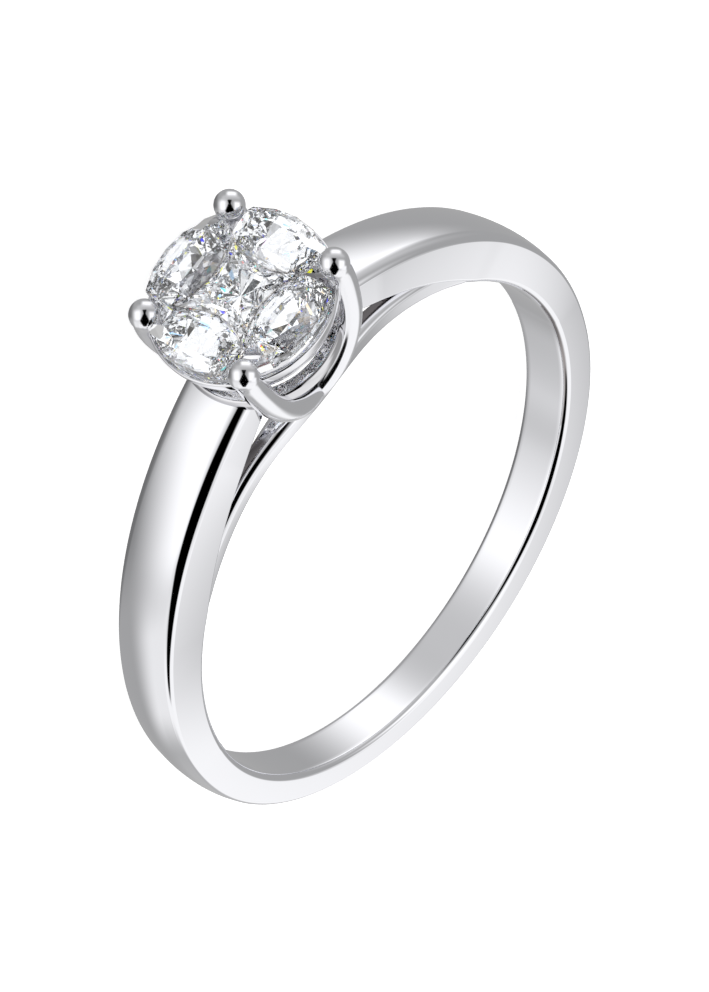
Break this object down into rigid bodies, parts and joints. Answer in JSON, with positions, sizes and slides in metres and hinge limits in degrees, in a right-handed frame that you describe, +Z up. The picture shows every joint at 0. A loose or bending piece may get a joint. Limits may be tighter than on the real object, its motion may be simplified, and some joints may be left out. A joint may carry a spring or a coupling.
{
  "type": "finger ring",
  "caption": "White metal finger ring with rising split shoulders and a four-prong head holding a round cluster of cut stones.",
  "frame": {"origin": "centre of the bounding box, on the surface the ring lies on", "axes": "+Z up; the ring lies on its side, the finger axis is 5.2 degrees off +Z and the head points to -Y"},
  "size_m": [0.0192, 0.024, 0.0056],
  "materials": {
    "white_gold": "polished",
    "stone": "polished"
  },
  "bodies": {
    "root": {"ring_mount": "white_gold", "centre_stone": "stone", "outer_stone_1": "stone", "outer_stone_2": "stone", "outer_stone_3": "stone", "outer_stone_4": "stone"}
  },
  "joints": []
}
